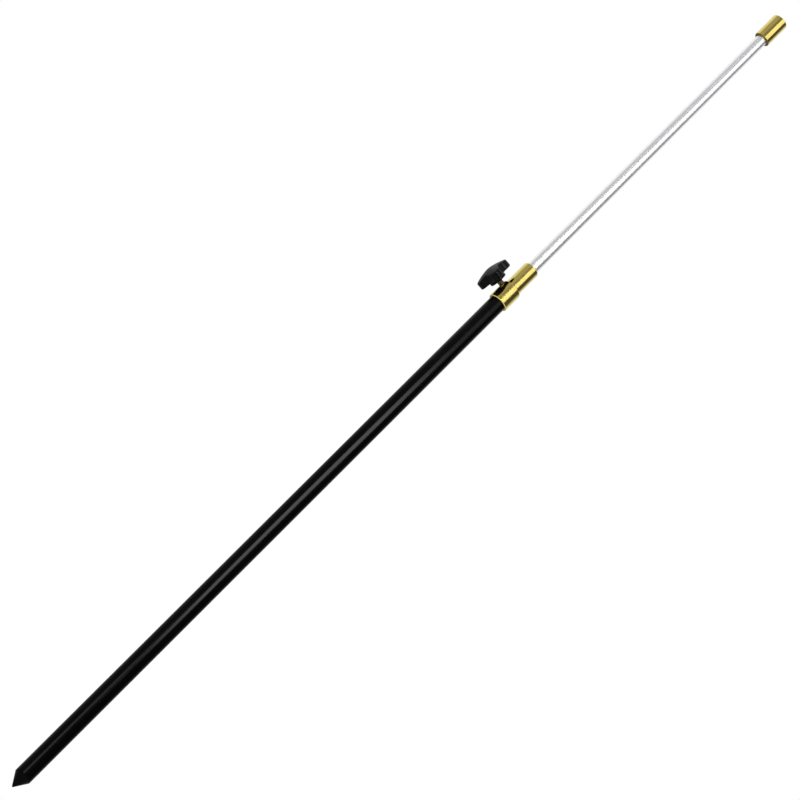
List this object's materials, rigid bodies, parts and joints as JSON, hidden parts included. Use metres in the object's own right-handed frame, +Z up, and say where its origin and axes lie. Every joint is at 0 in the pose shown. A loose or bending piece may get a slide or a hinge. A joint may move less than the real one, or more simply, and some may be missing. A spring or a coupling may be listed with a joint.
{
  "type": "telescopic bank stick",
  "caption": "Telescopic bank stick: black tube with a ground point, brass clamp collar with a lobed hand screw, and a bright sliding rod with a threaded brass socket on top.",
  "frame": {"origin": "the tip of the ground point, on the axis of the stick", "axes": "+Z up along the stick towards the threaded socket, -X along the clamp screw towards its knob"},
  "size_m": [0.0374, 0.0324, 1.016],
  "materials": {
    "point_black": "satin black powder coat",
    "tube_black": "satin black powder coat",
    "collar_brass": "turned and polished",
    "screw_brass": "turned and threaded",
    "knob_black": "moulded, fine matt texture",
    "guide_nylon": "moulded",
    "rod_bright": "drawn and bright polished",
    "socket_brass": "turned and polished"
  },
  "bodies": {
    "tube": {"ground_point": "point_black", "outer_tube": "tube_black", "clamp_collar": "collar_brass"},
    "screw": {"clamp_screw": "screw_brass"},
    "knob": {"clamp_knob": "knob_black"},
    "guide": {"rod_guide": "guide_nylon"},
    "rod": {"inner_rod": "rod_bright", "top_socket": "socket_brass"}
  },
  "joints": [
    {"name": "rod_slide", "type": "slide", "parent": "tube", "child": "guide", "axis": [0, 0, 1], "range_m": [-0.3258, 0.055]},
    {"name": "rod_turn", "type": "hinge", "parent": "guide", "child": "rod", "pos_m": [0, 0, 0.5707], "axis": [0, 0, 1], "continuous": true},
    {"name": "screw_feed", "type": "slide", "parent": "tube", "child": "screw", "axis": [-1, 0, 0], "range_m": [0, 0.003]},
    {"name": "knob_turn", "type": "hinge", "parent": "screw", "child": "knob", "pos_m": [-0.0136, 0, 0.631], "axis": [-1, 0, 0], "range_deg": [0, 1080]}
  ],
  "couplings": [
    {"joint": "knob_turn", "follows": "screw_feed", "rad_per_m": 6283.2}
  ]
}
